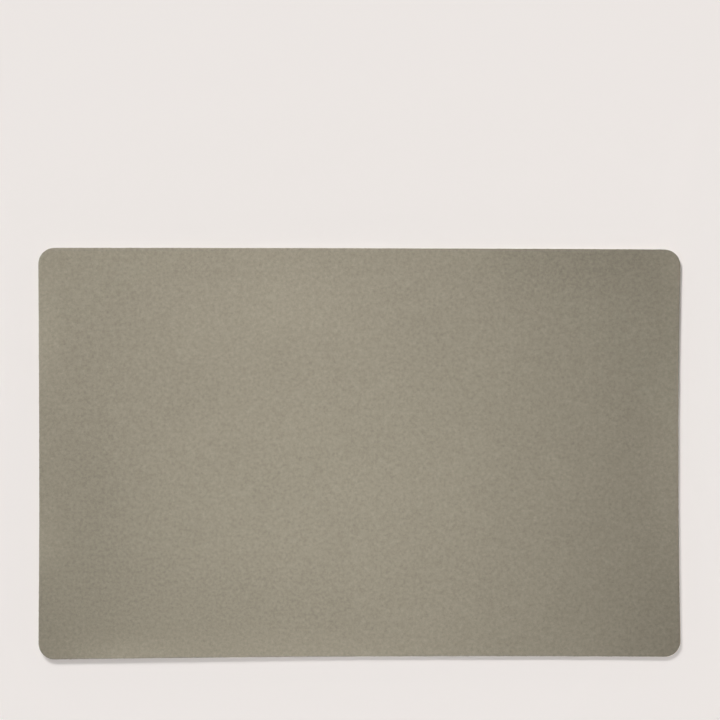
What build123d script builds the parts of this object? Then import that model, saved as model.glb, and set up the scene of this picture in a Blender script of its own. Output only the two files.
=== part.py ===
from build123d import *
import os

# A felt desk mat: one sheet of pressed wool felt, laminated by a glue film to a thin non-slip
# rubber backing. The three layers are die-cut together, so they share one outline.
#
# Millimetres, +Z up. The origin is at the middle of the underside. +X runs along the mat's
# width, and +Y points away from the person who sits at the desk.

# The die-cut outline.
MAT_WIDTH = 670.0
MAT_DEPTH = 427.0
CORNER_RADIUS = 17.0

# The layers' thicknesses, from the desk up.
BACKING_THICKNESS = 1.35
FILM_THICKNESS = 0.15
FELT_THICKNESS = 4.0

# The cutting die presses the felt's top rim down to this small round.
RIM_ROUND = 0.6

# The height of each layer's underside.
BACKING_BOTTOM = 0.0
FILM_BOTTOM = BACKING_BOTTOM + BACKING_THICKNESS
FELT_BOTTOM = FILM_BOTTOM + FILM_THICKNESS

PARTS_FOLDER = "parts"
os.makedirs(PARTS_FOLDER, exist_ok=True)


# The non-slip layer that lies on the desk.
with BuildPart() as grip_backing:
    with BuildSketch(Plane.XY.offset(BACKING_BOTTOM)):
        RectangleRounded(MAT_WIDTH, MAT_DEPTH, CORNER_RADIUS)
    extrude(amount=BACKING_THICKNESS)

grip_backing.part.label = "grip_backing"
export_step(grip_backing.part, f"{PARTS_FOLDER}/grip_backing.step")


# The glue film between the backing and the felt.
with BuildPart() as bond_film:
    with BuildSketch(Plane.XY.offset(FILM_BOTTOM)):
        RectangleRounded(MAT_WIDTH, MAT_DEPTH, CORNER_RADIUS)
    extrude(amount=FILM_THICKNESS)

bond_film.part.label = "bond_film"
export_step(bond_film.part, f"{PARTS_FOLDER}/bond_film.step")


# The felt sheet that is worked on, with its top rim rounded all the way round.
with BuildPart() as felt_face:
    with BuildSketch(Plane.XY.offset(FELT_BOTTOM)):
        RectangleRounded(MAT_WIDTH, MAT_DEPTH, CORNER_RADIUS)
    extrude(amount=FELT_THICKNESS)
    top_rim = felt_face.faces().sort_by(Axis.Z)[-1].edges()
    fillet(top_rim, radius=RIM_ROUND)

felt_face.part.label = "felt_face"
export_step(felt_face.part, f"{PARTS_FOLDER}/felt_face.step")
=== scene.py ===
import math

import bpy
import numpy as np
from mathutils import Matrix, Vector


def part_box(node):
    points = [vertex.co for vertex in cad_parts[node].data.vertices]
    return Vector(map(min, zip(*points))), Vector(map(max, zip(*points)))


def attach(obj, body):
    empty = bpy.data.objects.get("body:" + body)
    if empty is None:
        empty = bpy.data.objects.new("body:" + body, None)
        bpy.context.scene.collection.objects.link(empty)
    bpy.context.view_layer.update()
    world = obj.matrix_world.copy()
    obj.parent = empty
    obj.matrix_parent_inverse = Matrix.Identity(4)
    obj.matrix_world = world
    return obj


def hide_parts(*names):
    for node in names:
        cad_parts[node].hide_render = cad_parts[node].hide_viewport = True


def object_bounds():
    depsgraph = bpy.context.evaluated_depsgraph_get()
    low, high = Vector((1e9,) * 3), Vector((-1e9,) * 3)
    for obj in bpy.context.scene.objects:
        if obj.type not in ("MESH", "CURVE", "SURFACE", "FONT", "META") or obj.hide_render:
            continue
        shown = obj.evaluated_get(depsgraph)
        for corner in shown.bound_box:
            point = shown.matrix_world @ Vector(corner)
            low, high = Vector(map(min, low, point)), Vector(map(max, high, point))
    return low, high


# A felt desk mat: a sheet of pressed wool felt, laminated by a glue film to a rubber backing. Each
# layer's mesh replaces its CAD solid. The three share one grid of points, so they bend together.

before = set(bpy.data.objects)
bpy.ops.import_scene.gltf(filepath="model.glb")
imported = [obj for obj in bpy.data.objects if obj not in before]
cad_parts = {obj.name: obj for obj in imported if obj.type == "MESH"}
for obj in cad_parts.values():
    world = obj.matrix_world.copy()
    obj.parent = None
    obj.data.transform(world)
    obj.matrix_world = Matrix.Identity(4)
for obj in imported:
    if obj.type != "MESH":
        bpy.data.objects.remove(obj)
cad_low, cad_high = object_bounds()

MM = 0.001

# Where the layers of the laminate lie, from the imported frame.
felt_low, felt_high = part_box("felt_face")
film_low, film_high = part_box("bond_film")
backing_low, backing_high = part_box("grip_backing")
HALF_WIDTH = felt_high.x
HALF_DEPTH = felt_high.y

# A point this close to the outline's side lies on it.
SIDE_TOLERANCE = 0.01 * MM


def corner_radius_of(node):
    """The outline's corner radius: how far its straight sides stop short of its corners."""
    points = [v.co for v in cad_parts[node].data.vertices]
    on_side = [abs(p.y) for p in points if abs(p.x - HALF_WIDTH) < SIDE_TOLERANCE]
    return HALF_DEPTH - max(on_side)


CORNER_RADIUS = corner_radius_of("grip_backing")

# The grid that all three layers share: the size of its cells, the rows round each corner, and how
# many cells go into one of a hidden face's coarser cells.
CELL = 1.95 * MM
CORNER_ROWS = 13
COARSE_STEP = 3

# How the flexible mat departs from its die's outline. Each edge is pushed inwards by a constant,
# by a lean from one end to the other, and by a bow at its middle.
FRONT_EDGE = {"shift": -0.5 * MM, "lean": 1.27 * MM, "bow": 1.66 * MM}
BACK_EDGE = {"shift": 0.42 * MM, "lean": 0.9 * MM, "bow": -0.5 * MM}
LEFT_EDGE = {"shift": 0.33 * MM, "lean": -0.3 * MM, "bow": 0.7 * MM}
RIGHT_EDGE = {"shift": -0.39 * MM, "lean": 0.03 * MM, "bow": 2.48 * MM}

# How far the edges stand off the desk, how far in from the edge they do, the part of that lift
# that is the same all round, and the sine waves, as (frequency, phase), that vary the rest.
EDGE_LIFT = 0.5 * MM
EDGE_LIFT_REACH = 45 * MM
EDGE_LIFT_EVEN = 0.65
LIFT_WAVE_ACROSS = (5.3, 1.1)
LIFT_WAVE_ALONG = (4.1, -0.6)

# The curl of the front left part. It fades towards the back over this share of the half depth, and
# towards the right over this share of the half width, beyond a stretch where it is still full.
CURL_LIFT = 1.6 * MM
CURL_FADE_BACK = 0.75
CURL_FADE_RIGHT = 0.65
CURL_FULL_STRETCH = 0.6

# The felt's relief: soft waves left by the pressing, and a fine grain, which is evened out by
# mixing each point's own share of it with its four neighbours' shares.
PRESSING_RELIEF = 0.10 * MM
LONGEST_WAVE = 90 * MM
SHORTEST_WAVE = 18 * MM
WAVE_COUNT = 60
FELT_GRAIN = 0.035 * MM
GRAIN_OWN_SHARE = 0.4
GRAIN_NEIGHBOUR_SHARE = 0.15

# The felt's edge, from its worn top rim down its cut face: (how far in, how far down).
FELT_EDGE = [
    (0.60 * MM, 0.00 * MM),
    (0.33 * MM, 0.06 * MM),
    (0.14 * MM, 0.20 * MM),
    (0.03 * MM, 0.45 * MM),
    (0.00 * MM, 1.00 * MM),
    (0.05 * MM, 1.75 * MM),
    (0.02 * MM, 2.45 * MM),
    (0.07 * MM, 3.10 * MM),
    (0.04 * MM, 3.65 * MM),
    (0.14 * MM, 4.00 * MM),
]
FELT_EDGE_ROUGHNESS = 0.07 * MM

# The film ends just inside the cut edge.
FILM_INSET = 0.25 * MM

# The backing's cut edge, in the same form as the felt's.
BACKING_EDGE = [
    (0.14 * MM, 0.00 * MM),
    (0.04 * MM, 0.10 * MM),
    (0.00 * MM, 0.40 * MM),
    (0.02 * MM, 0.80 * MM),
    (0.05 * MM, 1.20 * MM),
    (0.20 * MM, 1.35 * MM),
]
BACKING_EDGE_ROUGHNESS = 0.02 * MM

# The pockets moulded into the backing's underside: their depth, the plain border round them, and
# the share of a coarse cell that each takes at its mouth and at its bottom.
POCKET_DEPTH = 0.4 * MM
POCKET_BORDER = 15 * MM
POCKET_MOUTH = 0.80
POCKET_BOTTOM = 0.66

FELT_SEED = 20240611
BACKING_SEED = 20240612


# ---------------------------------------------------------------- the mat's shape

def grid_lines():
    """For each row its corner's centre and its angle round the corner, and the column shares.

    A column's share is its place across the mat, from -1 at the left edge to 1 at the right."""
    straight = HALF_DEPTH - CORNER_RADIUS
    middle_rows = COARSE_STEP * round(2 * straight / CELL / COARSE_STEP)
    columns = COARSE_STEP * round(2 * HALF_WIDTH / CELL / COARSE_STEP)
    angles = np.linspace(0, math.pi / 2, CORNER_ROWS)[1:]
    centre = np.concatenate([
        np.full(len(angles), -straight),
        np.linspace(-straight, straight, middle_rows + 1),
        np.full(len(angles), straight),
    ])
    angle = np.concatenate([-angles[::-1], np.zeros(middle_rows + 1), angles])
    return centre, angle, np.linspace(-1, 1, columns + 1)


ROW_CENTRE, ROW_ANGLE, COLUMN_SHARE = grid_lines()
ROWS = len(ROW_CENTRE)
COLUMNS = len(COLUMN_SHARE)

# The rows and columns that the hidden faces keep. Between its first and last row, a coarse face
# has rows in the straight stretch only.
COARSE_ROWS = [0, *range(CORNER_ROWS - 1, ROWS - CORNER_ROWS + 1, COARSE_STEP), ROWS - 1]
COARSE_COLUMNS = list(range(0, COLUMNS, COARSE_STEP))


def coarse_cells():
    """The first and last row, and the first and last column, of each coarse cell."""
    for low, high in zip(COARSE_ROWS, COARSE_ROWS[1:]):
        for left, right in zip(COARSE_COLUMNS, COARSE_COLUMNS[1:]):
            yield low, high, left, right


def die_grid(inset):
    """The grid of points inside the rounded rectangle, drawn in from the die's outline by inset."""
    radius = CORNER_RADIUS - inset
    y = ROW_CENTRE + radius * np.sin(ROW_ANGLE)
    half = HALF_WIDTH - inset - radius * (1 - np.cos(ROW_ANGLE))
    return half[:, None] * COLUMN_SHARE[None, :], np.repeat(y[:, None], COLUMNS, axis=1)


def rim_of(grid):
    """The grid's outermost points, anticlockwise from the front left."""
    return np.concatenate([grid[0, :-1], grid[:-1, -1], grid[-1, :0:-1], grid[:0:-1, 0]])


def grid_with_rim(rim):
    """A grid of point numbers that has this rim round it and no points inside it yet."""
    front_end = COLUMNS - 1
    right_end = front_end + ROWS - 1
    back_end = right_end + COLUMNS - 1
    grid = np.full((ROWS, COLUMNS), -1)
    grid[0, :-1] = rim[:front_end]
    grid[:-1, -1] = rim[front_end:right_end]
    grid[-1, :0:-1] = rim[right_end:back_end]
    grid[:0:-1, 0] = rim[back_end:]
    return grid


def pushed(edge, along):
    """How far in an edge is pushed, at this place along it, from -1 to 1."""
    return edge["shift"] + edge["lean"] * along + edge["bow"] * (1 - along**2)


def warp(x, y):
    """Where a point of the die's outline really lies on the soft mat."""
    u, v = x / HALF_WIDTH, y / HALF_DEPTH
    to_front, to_back = ((1 - v) / 2) ** 2, ((1 + v) / 2) ** 2
    to_left, to_right = ((1 - u) / 2) ** 2, ((1 + u) / 2) ** 2
    new_x = x + pushed(LEFT_EDGE, v) * to_left - pushed(RIGHT_EDGE, v) * to_right
    new_y = y + pushed(FRONT_EDGE, u) * to_front - pushed(BACK_EDGE, u) * to_back
    return new_x, new_y


def smooth(value):
    """A soft step from 0 to 1."""
    value = np.clip(value, 0, 1)
    return value * value * (3 - 2 * value)


def sine(wave, place):
    frequency, phase = wave
    return np.sin(frequency * place + phase)


def lift(x, y):
    """How far the mat's underside stands off the desk: a slight curl along its edges."""
    u, v = x / HALF_WIDTH, y / HALF_DEPTH
    edge_gap = np.minimum(HALF_WIDTH - np.abs(x), HALF_DEPTH - np.abs(y))
    near_edge = smooth(1 - edge_gap / EDGE_LIFT_REACH)
    varied = sine(LIFT_WAVE_ACROSS, u) * sine(LIFT_WAVE_ALONG, v)
    uneven = EDGE_LIFT_EVEN + (1 - EDGE_LIFT_EVEN) * varied
    from_front = smooth(1 - (v + 1) / CURL_FADE_BACK)
    from_left = smooth(1 + CURL_FULL_STRETCH - (u + 1) / CURL_FADE_RIGHT)
    return EDGE_LIFT * near_edge**2 * uneven + CURL_LIFT * from_front * from_left


def waves(x, y, rng):
    """Smooth random relief with unit spread: a sum of sine waves in all directions."""
    total = np.zeros_like(x)
    for _ in range(WAVE_COUNT):
        length = math.exp(rng.uniform(math.log(SHORTEST_WAVE), math.log(LONGEST_WAVE)))
        angle, phase = rng.uniform(0, 2 * math.pi, 2)
        across = x * math.cos(angle) + y * math.sin(angle)
        total += np.sin(2 * math.pi * across / length + phase)
    return total / math.sqrt(WAVE_COUNT / 2)


def evened_grain(shape, rng):
    """Random grain. Inside the grid's border, each point is mixed with its neighbours."""
    grain = rng.normal(size=shape)
    beside = grain[:-2, 1:-1] + grain[2:, 1:-1] + grain[1:-1, :-2] + grain[1:-1, 2:]
    grain[1:-1, 1:-1] = GRAIN_OWN_SHARE * grain[1:-1, 1:-1] + GRAIN_NEIGHBOUR_SHARE * beside
    return grain


def points_at(x, y, height):
    """Points of the laminate at this height above its underside."""
    new_x, new_y = warp(x, y)
    return np.stack([new_x, new_y, lift(x, y) + height], axis=-1)


class MeshMaker:
    """Collects blocks of points and the faces between them."""

    def __init__(self):
        self.blocks = []
        self.faces = []
        self.count = 0

    def add_points(self, points):
        """Adds a block of points, and returns their numbers in a block of the same shape."""
        flat = np.asarray(points, float).reshape(-1, 3)
        first = self.count
        self.blocks.append(flat)
        self.count += len(flat)
        return np.arange(first, self.count).reshape(np.shape(points)[:-1])

    def add_quads(self, a, b, c, d):
        self.faces += np.stack([a, b, c, d], axis=-1).reshape(-1, 4).tolist()

    def add_grid(self, index):
        """Quads between the points of a grid, facing up."""
        self.add_quads(index[:-1, :-1], index[:-1, 1:], index[1:, 1:], index[1:, :-1])

    def add_band(self, lower, upper):
        """Quads between two rings, facing outwards when the rings run anticlockwise."""
        self.add_quads(lower, np.roll(lower, -1), np.roll(upper, -1), upper)

    def add_edge(self, rings):
        """The bands between rings that are given from the top down."""
        for upper, lower in zip(rings, rings[1:]):
            self.add_band(lower, upper)

    def make_object(self, name):
        mesh = bpy.data.meshes.new(name)
        mesh.from_pydata(np.concatenate(self.blocks).tolist(), [], self.faces)
        mesh.validate()
        mesh.update()
        mesh.shade_smooth()
        made = bpy.data.objects.new(name, mesh)
        bpy.context.scene.collection.objects.link(made)
        return made

    def make_piece(self, name):
        piece = self.make_object(name)
        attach(piece, "root")
        return piece


def add_coarse_cap(maker, rim, height, upward, skip=None):
    """Closes a ring with a coarser grid. The outermost cells keep all of the ring's points.

    skip(low, high, left, right) leaves out an inner cell. The grid of point numbers is returned."""
    x, y = die_grid(0)
    index = grid_with_rim(rim)
    inner = np.ix_(COARSE_ROWS[1:-1], COARSE_COLUMNS[1:-1])
    index[inner] = maker.add_points(points_at(x[inner], y[inner], height))
    for low, high, left, right in coarse_cells():
        if skip and skip(low, high, left, right):
            continue
        front = range(left, right) if low == 0 else [left]
        back = range(right, left, -1) if high == ROWS - 1 else [right]
        east = range(low, high) if right == COLUMNS - 1 else [low]
        west = range(high, low, -1) if left == 0 else [high]
        face = [index[low, i] for i in front]
        face += [index[j, right] for j in east]
        face += [index[high, i] for i in back]
        face += [index[j, left] for j in west]
        face = [int(i) for i in face]
        maker.faces.append(face if upward else face[::-1])
    return index


# ---------------------------------------------------------------- the layers

def make_felt():
    """The felt, with relief on its top that fades out down its cut edge."""
    rng = np.random.default_rng(FELT_SEED)
    maker = MeshMaker()
    rim_inset, _ = FELT_EDGE[0]
    _, thickness = FELT_EDGE[-1]
    x, y = die_grid(rim_inset)
    relief = PRESSING_RELIEF * waves(x, y, rng)
    relief += FELT_GRAIN * evened_grain(x.shape, rng)
    top = maker.add_points(points_at(x, y, felt_high.z + relief))
    maker.add_grid(top)
    rings = [rim_of(top)]
    for inset, down in FELT_EDGE[1:]:
        ring_x, ring_y = die_grid(inset)
        fade = 1 - down / thickness
        height = felt_high.z - down + rim_of(relief) * fade
        points = points_at(rim_of(ring_x), rim_of(ring_y), height)
        rough = FELT_EDGE_ROUGHNESS * rng.normal(size=points.shape)
        rough[:, 2] *= fade
        rings.append(maker.add_points(points + rough))
    maker.add_edge(rings)
    add_coarse_cap(maker, rings[-1], felt_low.z, upward=False)
    return maker.make_piece("felt_sheet")


def make_film():
    """The glue film, which shows only as a thin line in the cut edge."""
    maker = MeshMaker()
    x, y = die_grid(FILM_INSET)
    rim_x, rim_y = rim_of(x), rim_of(y)
    lower = maker.add_points(points_at(rim_x, rim_y, film_low.z))
    upper = maker.add_points(points_at(rim_x, rim_y, film_high.z))
    maker.add_band(lower, upper)
    add_coarse_cap(maker, lower, film_low.z, upward=False)
    add_coarse_cap(maker, upper, film_high.z, upward=True)
    return maker.make_piece("glue_film")


def pocketed(low, high, left, right):
    """Whether the coarse cell between these rows and columns holds a pocket."""
    between_corners = low >= CORNER_ROWS - 1 and high <= ROWS - CORNER_ROWS
    widest = max(abs(COLUMN_SHARE[left]), abs(COLUMN_SHARE[right])) * HALF_WIDTH
    return between_corners and widest < HALF_WIDTH - POCKET_BORDER


def add_pockets(maker, index):
    """Sinks a pocket with sloping sides into each cell that the underside's cap left open."""
    x, y = die_grid(0)
    for low, high, left, right in coarse_cells():
        if not pocketed(low, high, left, right):
            continue
        corners = [(low, left), (low, right), (high, right), (high, left)]
        corner_x = np.array([x[corner] for corner in corners])
        corner_y = np.array([y[corner] for corner in corners])
        middle_x, middle_y = corner_x.mean(), corner_y.mean()
        rings = [np.array([index[corner] for corner in corners])]
        for share, depth in ((POCKET_MOUTH, 0), (POCKET_BOTTOM, POCKET_DEPTH)):
            ring_x = middle_x + share * (corner_x - middle_x)
            ring_y = middle_y + share * (corner_y - middle_y)
            rings.append(maker.add_points(points_at(ring_x, ring_y, backing_low.z + depth)))
        maker.add_edge(rings)
        maker.faces.append(rings[-1][::-1].tolist())


def make_backing():
    """The rubber sheet. Its underside is a waffle of shallow pockets inside a plain border."""
    rng = np.random.default_rng(BACKING_SEED)
    maker = MeshMaker()
    rings = []
    for inset, down in BACKING_EDGE:
        x, y = die_grid(inset)
        points = points_at(rim_of(x), rim_of(y), backing_high.z - down)
        points[:, :2] += BACKING_EDGE_ROUGHNESS * rng.normal(size=points[:, :2].shape)
        rings.append(maker.add_points(points))
    maker.add_edge(rings)
    add_coarse_cap(maker, rings[0], backing_high.z, upward=True)
    index = add_coarse_cap(maker, rings[-1], backing_low.z, upward=False, skip=pocketed)
    add_pockets(maker, index)
    return maker.make_piece("rubber_backing")


# ---------------------------------------------------------------- materials

FELT_DARK = (0.191, 0.171, 0.130)
FELT_LIGHT = (0.361, 0.326, 0.254)
FELT_BLOOM = (1.0, 0.96, 0.88, 1)

# The felt's mottling: how large each kind of mark is, and how strongly it shows.
BLOTCH_SIZE = 3.4 * MM
BLOTCH_GAIN = 0.95
SPECK_SIZE = 0.7 * MM
SPECK_GAIN = 0.45
CLOUD_SIZE = 70 * MM
CLOUD_GAIN = 0.12

# The felt's fibres: the ways they run in radians, their length, width and depth, and how much of
# the noise becomes a fibre. Each set of fibres is shifted, so that no two sets are alike.
PALE_FIBRES = {
    "turns": (0.3, 1.2, 2.2),
    "size": (4.5 * MM, 0.30 * MM, 1.5 * MM),
    "low": 0.60,
    "high": 0.72,
}
DARK_FIBRES = {
    "turns": (0.8, 1.8, 2.8),
    "size": (3.5 * MM, 0.35 * MM, 1.5 * MM),
    "low": 0.62,
    "high": 0.74,
}
FIBRE_GAIN = 0.16
FIBRE_CURL = 0.9
FIBRE_SHIFT = (0.13, 0.07, 0.05)

# Painted light and shade: lighter and darker patches in the felt's colour that stand in for the shading
# of its curled edges and the lamps' fall-off. Centre and reach in metres from the mat's middle, and how
# much lighter or darker.
PAINTED_SHADING_PATCHES = [
    ((-0.335, 0.125), (0.040, 0.100), 0.20),
    ((-0.335, -0.095), (0.040, 0.045), 0.15),
    ((-0.275, -0.060), (0.055, 0.170), -0.09),
    ((-0.245, -0.215), (0.090, 0.036), 0.24),
    ((-0.080, -0.213), (0.300, 0.035), 0.10),
    ((0.335, 0.000), (0.055, 0.185), 0.27),
    ((0.335, 0.175), (0.030, 0.075), 0.14),
    ((-0.150, -0.160), (0.330, 0.075), -0.06),
    ((0.220, -0.213), (0.080, 0.045), 0.08),
    ((0.220, 0.213), (0.150, 0.080), -0.14),
    ((-0.080, 0.150), (0.170, 0.070), 0.09),
]

FILM_DARK = (0.52, 0.49, 0.41)
FILM_LIGHT = (0.70, 0.67, 0.58)
FILM_HAZE_SIZE = 3 * MM

RUBBER_DARK = (0.30, 0.28, 0.245)
RUBBER_LIGHT = (0.42, 0.40, 0.355)
RUBBER_CLOUD_SIZE = 9 * MM
RUBBER_CLOUD_GAIN = 0.6
RUBBER_GRAIN_SIZE = 0.5 * MM


class Nodes:
    """A small helper that makes a material's nodes."""

    def __init__(self, name):
        self.material = bpy.data.materials.new(name)
        self.material.use_nodes = True
        self.tree = self.material.node_tree
        self.tree.nodes.clear()
        self.output = self.tree.nodes.new("ShaderNodeOutputMaterial")
        self.shader = self.tree.nodes.new("ShaderNodeBsdfPrincipled")
        self.link(self.shader.outputs["BSDF"], self.output.inputs["Surface"])
        self.place = self.tree.nodes.new("ShaderNodeTexCoord").outputs["Object"]

    def link(self, source, target):
        self.tree.links.new(source, target)

    def math(self, operation, *values):
        node = self.tree.nodes.new("ShaderNodeMath")
        node.operation = operation
        for socket, value in zip(node.inputs, values):
            if isinstance(value, (int, float)):
                socket.default_value = value
            else:
                self.link(value, socket)
        return node.outputs[0]

    def vector_math(self, operation, vector, constant=(0, 0, 0)):
        node = self.tree.nodes.new("ShaderNodeVectorMath")
        node.operation = operation
        self.link(vector, node.inputs[0])
        node.inputs[1].default_value = constant
        return node.outputs["Value" if operation == "LENGTH" else "Vector"]

    def ramp(self, value, low, high, first=0.0, last=1.0, curve="LINEAR"):
        """first up to low, last from high on, and a ramp between them."""
        node = self.tree.nodes.new("ShaderNodeMapRange")
        node.interpolation_type = curve
        node.inputs["From Min"].default_value = low
        node.inputs["From Max"].default_value = high
        node.inputs["To Min"].default_value = first
        node.inputs["To Max"].default_value = last
        self.link(value, node.inputs["Value"])
        return node.outputs["Result"]

    def centred(self, value, gain):
        """(value - 0.5) * gain"""
        return self.math("MULTIPLY", self.math("SUBTRACT", value, 0.5), gain)

    def noise(self, size, detail=2.0, roughness=0.5, distortion=0.0, place=None):
        """Noise with blotches of about this size, in metres."""
        node = self.tree.nodes.new("ShaderNodeTexNoise")
        node.inputs["Scale"].default_value = 1 / size
        node.inputs["Detail"].default_value = detail
        node.inputs["Roughness"].default_value = roughness
        node.inputs["Distortion"].default_value = distortion
        self.link(place or self.place, node.inputs["Vector"])
        return node.outputs["Fac"]

    def stretched(self, turn, size, shift):
        """Coordinates whose unit cell has this size in metres, turned about the vertical."""
        node = self.tree.nodes.new("ShaderNodeMapping")
        node.vector_type = "TEXTURE"
        node.inputs["Rotation"].default_value = (0, 0, turn)
        node.inputs["Scale"].default_value = size
        node.inputs["Location"].default_value = shift
        self.link(self.place, node.inputs["Vector"])
        return node.outputs["Vector"]

    def fibres(self, turns, size, low, high):
        """Short curved fibres of this length, width and depth, each set running its own way.

        They show where the noise is above low, and fully where it is above high."""
        total = None
        for k, turn in enumerate(turns):
            shift = tuple(k * part for part in FIBRE_SHIFT)
            place = self.stretched(turn, size, shift)
            streaks = self.noise(1.0, detail=1.0, distortion=FIBRE_CURL, place=place)
            streaks = self.ramp(streaks, low, high)
            total = streaks if total is None else self.math("ADD", total, streaks)
        return total

    def spot(self, centre, reach):
        """A soft oval: 1 at its centre and 0 beyond its reach, the same all through the thickness."""
        place = self.vector_math("SUBTRACT", self.place, (*centre, 0))
        place = self.vector_math("DIVIDE", place, (*reach, 1))
        distance = self.vector_math("LENGTH", place)
        return self.ramp(distance, 0.0, 1.0, first=1.0, last=0.0, curve="SMOOTHSTEP")

    def paint(self, share, dark, light):
        """Colours the surface from dark, where share is 0, to light, where it is 1."""
        node = self.tree.nodes.new("ShaderNodeMix")
        node.data_type = "RGBA"
        colour_a, colour_b = [s for s in node.inputs if s.type == "RGBA"]
        colour_a.default_value = (*dark, 1)
        colour_b.default_value = (*light, 1)
        self.link(share, node.inputs["Factor"])
        (colour,) = [s for s in node.outputs if s.type == "RGBA"]
        self.link(colour, self.shader.inputs["Base Color"])

    def roughen(self, noise, middle, spread):
        """Roughness about a middle value, varied by this noise."""
        self.link(self.math("ADD", self.centred(noise, spread), middle), self.shader.inputs["Roughness"])

    def bump(self, height, strength, distance):
        node = self.tree.nodes.new("ShaderNodeBump")
        node.inputs["Strength"].default_value = strength
        node.inputs["Distance"].default_value = distance
        self.link(height, node.inputs["Height"])
        self.link(node.outputs["Normal"], self.shader.inputs["Normal"])

    def set(self, **values):
        """Constant values of the shader, with _ for each space in a socket's name."""
        for name, value in values.items():
            self.shader.inputs[name.replace("_", " ")].default_value = value


def felt_material():
    """Pressed wool: soft blotches, short crossing fibres, a faint bloom at low angles and painted light
    and shade.
    """
    n = Nodes("wool_felt")
    blotches = n.noise(BLOTCH_SIZE, detail=3.0, roughness=0.6)
    specks = n.noise(SPECK_SIZE, detail=2.0)
    clouds = n.noise(CLOUD_SIZE, detail=1.0)
    mottling = n.math("ADD", n.centred(blotches, BLOTCH_GAIN), n.centred(specks, SPECK_GAIN))
    mottling = n.math("ADD", mottling, n.centred(clouds, CLOUD_GAIN))
    mottling = n.math("MULTIPLY_ADD", n.fibres(**PALE_FIBRES), FIBRE_GAIN, mottling)
    mottling = n.math("MULTIPLY_ADD", n.fibres(**DARK_FIBRES), -FIBRE_GAIN, mottling)
    share = n.math("ADD", mottling, 0.5)
    # Painted light and shade: each patch lightens or darkens the felt's colour where the edges' curl and
    # the lamps' fall-off shade it.
    for centre, reach, change in PAINTED_SHADING_PATCHES:
        share = n.math("MULTIPLY_ADD", n.spot(centre, reach), change, share)
    n.paint(share, FELT_DARK, FELT_LIGHT)
    n.roughen(specks, middle=0.92, spread=0.12)
    n.bump(mottling, strength=0.6, distance=0.25 * MM)
    n.set(Specular_IOR_Level=0.15, Sheen_Weight=0.2, Sheen_Roughness=0.5, Sheen_Tint=FELT_BLOOM)
    return n.material


def film_material():
    """Hazy, slightly uneven hot-melt glue."""
    n = Nodes("hot_melt_film")
    haze = n.noise(FILM_HAZE_SIZE, detail=2.0)
    n.paint(haze, FILM_DARK, FILM_LIGHT)
    n.roughen(haze, middle=0.4, spread=0.2)
    n.bump(haze, strength=0.3, distance=0.05 * MM)
    return n.material


def backing_material():
    """Matte natural rubber with a fine grain and soft clouds."""
    n = Nodes("natural_rubber")
    cloud = n.noise(RUBBER_CLOUD_SIZE, detail=3.0)
    grain = n.noise(RUBBER_GRAIN_SIZE, detail=2.0)
    n.paint(n.math("ADD", n.centred(cloud, RUBBER_CLOUD_GAIN), grain), RUBBER_DARK, RUBBER_LIGHT)
    n.roughen(grain, middle=0.78, spread=0.2)
    n.bump(grain, strength=0.4, distance=0.08 * MM)
    n.set(Specular_IOR_Level=0.35)
    return n.material


# ---------------------------------------------------------------- the studio

# The camera looks straight down. The view's width is measured at the height of the mat's top.
CAMERA_LENS = 74.0
CAMERA_SENSOR = 36.0
VIEW_WIDTH = 751.1 * MM
CAMERA_X = 0.8 * MM
CAMERA_Y = 96.9 * MM

# The lamps, with their places in metres. A lamp's share is the light that it gives at the mat's
# brightest spot, as a part of the light that would turn a white matte surface fully white. Its
# grid, in degrees, narrows the light to a pool.
BRIGHTEST = (-0.12, 0.05, 0.0)
LAMPS = [
    {
        "name": "key",
        "place": (-0.67, 1.50, 1.7),
        "aim": (-0.18, 1.0, 0.0),
        "size": (0.75, 0.6),
        "grid": 88,
        "share": 0.61,
    },
    {
        "name": "overhead",
        "place": (-0.08, 0.15, 2.2),
        "aim": (-0.038, -0.18, 0.0),
        "size": (0.30, 0.30),
        "grid": 32,
        "share": 0.46,
    },
]

# A lamp's light is worked out from this many spots along each side of its face. A ray that leaves
# the face at a smaller cosine than this one is treated as if it left at this one.
LAMP_SPOTS = 5
LEAST_COSINE = 1e-3

# The air is as pale as the floor near the horizon, and dim above. It fades between these heights
# of the line of sight, where 0 is level and 1 is straight up. Its share is the light that it gives
# the floor, on the same scale as a lamp's.
AIR_ABOVE = 0.08
AIR_FADE_START = 0.19
AIR_FADE_END = 0.30
AIR_SHARE = 0.11

# The floor's paint is brighter where less light falls, up to a limit, beyond which the floor glows
# to make up for the rest. The gain is a last small correction, which makes the rendered floor's
# colour exact.
FLOOR_COLOUR = (0.831, 0.791, 0.768)
FLOOR_BRIGHTEST_PAINT = 1.10
FLOOR_PAINT_GAIN = 1.006

# The floor's size from its middle, and the lines of its grid, which are evenly spaced up to about
# the fine reach and ever wider beyond it. It lies just under the mat.
FLOOR_REACH = 14.0
FLOOR_FINE_REACH = 0.25
FLOOR_LINES = 161
FLOOR_GAP = 0.02 * MM


def make_camera():
    data = bpy.data.cameras.new("camera_above")
    data.lens = CAMERA_LENS
    data.sensor_width = CAMERA_SENSOR
    camera = bpy.data.objects.new("camera_above", data)
    distance = VIEW_WIDTH * CAMERA_LENS / CAMERA_SENSOR
    camera.location = (CAMERA_X, CAMERA_Y, cad_high.z + distance)
    bpy.context.scene.collection.objects.link(camera)
    bpy.context.scene.camera = camera


def lamp_way(lamp):
    """The direction in which the lamp shines."""
    return (Vector(lamp["aim"]) - Vector(lamp["place"])).normalized()


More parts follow.
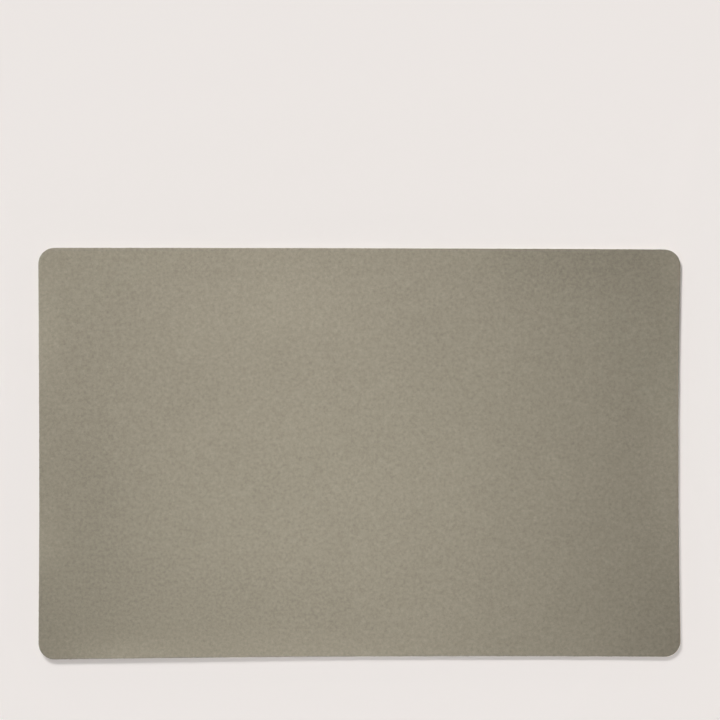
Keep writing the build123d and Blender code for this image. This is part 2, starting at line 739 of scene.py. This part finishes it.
def light_on_floor(lamp, points):
    """The light of one watt of this lamp on a level surface at these points."""
    way = lamp_way(lamp)
    turn = way.to_track_quat("-Z", "Y")
    across = np.array(turn @ Vector((lamp["size"][0], 0, 0)))
    along = np.array(turn @ Vector((0, lamp["size"][1], 0)))
    half_grid = math.radians(lamp["grid"]) / 2
    opening = math.tan(half_grid)
    middles = (np.arange(LAMP_SPOTS) + 0.5) / LAMP_SPOTS - 0.5
    total = np.zeros(len(points))
    for i in middles:
        for j in middles:
            ray = points - (np.array(lamp["place"]) + across * i + along * j)
            distance = np.linalg.norm(ray, axis=1)
            leaving = np.clip(ray @ np.array(way) / distance, 0, 1)
            arriving = np.clip(-ray[:, 2] / distance, 0, 1)
            slant = np.sqrt(1 - leaving**2) / np.clip(leaving, LEAST_COSINE, 1)
            passed = np.clip(opening - slant, 0, None) / (opening - half_grid)
            total += passed * leaving * arriving / distance**2
    return total / (math.pi * LAMP_SPOTS) ** 2


def add_lamp(lamp, watts):
    data = bpy.data.lights.new(lamp["name"], "AREA")
    data.shape = "RECTANGLE"
    data.size, data.size_y = lamp["size"]
    data.spread = math.radians(lamp["grid"])
    data.energy = watts
    light = bpy.data.objects.new(lamp["name"], data)
    light.location = lamp["place"]
    light.rotation_euler = lamp_way(lamp).to_track_quat("-Z", "Y").to_euler()
    light.visible_camera = False
    bpy.context.scene.collection.objects.link(light)


def add_lamps():
    """Adds the lamps, and returns each lamp's watts."""
    all_watts = []
    for lamp in LAMPS:
        watts = lamp["share"] / light_on_floor(lamp, np.array([BRIGHTEST]))[0]
        add_lamp(lamp, watts)
        all_watts.append(watts)
    return all_watts


def floor_material():
    """Matte paint and a glow, both read from the floor's own points."""
    n = Nodes("pale_floor")
    for layer, socket in (("paint", "Base Color"), ("glow", "Emission Color")):
        node = n.tree.nodes.new("ShaderNodeAttribute")
        node.attribute_name = layer
        n.link(node.outputs["Vector"], n.shader.inputs[socket])
    n.set(Roughness=1.0, Specular_IOR_Level=0.0, Emission_Strength=1.0)
    return n.material


def make_floor(all_watts):
    """A pale floor. Its paint and glow even out the lamps' fall-off, as a lit studio sweep does."""
    steps = np.linspace(-1, 1, FLOOR_LINES) * math.asinh(FLOOR_REACH / FLOOR_FINE_REACH)
    line = FLOOR_FINE_REACH * np.sinh(steps)
    y, x = np.meshgrid(line, line, indexing="ij")
    points = np.stack([x, y, np.zeros_like(x)], axis=-1)
    flat = points.reshape(-1, 3)
    light = AIR_SHARE + sum(
        watts * light_on_floor(lamp, flat) for lamp, watts in zip(LAMPS, all_watts)
    )
    paint = np.minimum(1 / light, FLOOR_BRIGHTEST_PAINT)
    glow = 1 - paint * light
    maker = MeshMaker()
    maker.add_grid(maker.add_points(points))
    floor = maker.make_object("studio_floor")
    floor.location.z = -FLOOR_GAP
    tint = np.array(FLOOR_COLOUR)
    for name, value in (("paint", paint * FLOOR_PAINT_GAIN), ("glow", glow)):
        layer = floor.data.attributes.new(name, "FLOAT_VECTOR", "POINT")
        layer.data.foreach_set("vector", (value[:, None] * tint).ravel())
    floor.data.materials.append(floor_material())


def make_world():
    """Air that is as pale as the floor near the horizon, and dim above."""
    world = bpy.data.worlds.new("studio_air")
    bpy.context.scene.world = world
    world.use_nodes = True
    tree = world.node_tree
    background = tree.nodes["Background"]
    background.inputs["Color"].default_value = (*FLOOR_COLOUR, 1)
    way = tree.nodes.new("ShaderNodeTexCoord")
    split = tree.nodes.new("ShaderNodeSeparateXYZ")
    fade = tree.nodes.new("ShaderNodeMapRange")
    fade.inputs["From Min"].default_value = AIR_FADE_START
    fade.inputs["From Max"].default_value = AIR_FADE_END
    fade.inputs["To Min"].default_value = 1.0
    fade.inputs["To Max"].default_value = AIR_ABOVE
    tree.links.new(way.outputs["Generated"], split.inputs[0])
    tree.links.new(split.outputs["Z"], fade.inputs["Value"])
    tree.links.new(fade.outputs["Result"], background.inputs["Strength"])


# ---------------------------------------------------------------- the scene

make_camera()
make_floor(add_lamps())
make_world()
bpy.context.scene.view_settings.view_transform = "Standard"

felt = make_felt()
felt.data.materials.append(felt_material())
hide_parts("felt_face")

film = make_film()
film.data.materials.append(film_material())
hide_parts("bond_film")

backing = make_backing()
backing.data.materials.append(backing_material())
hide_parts("grip_backing")
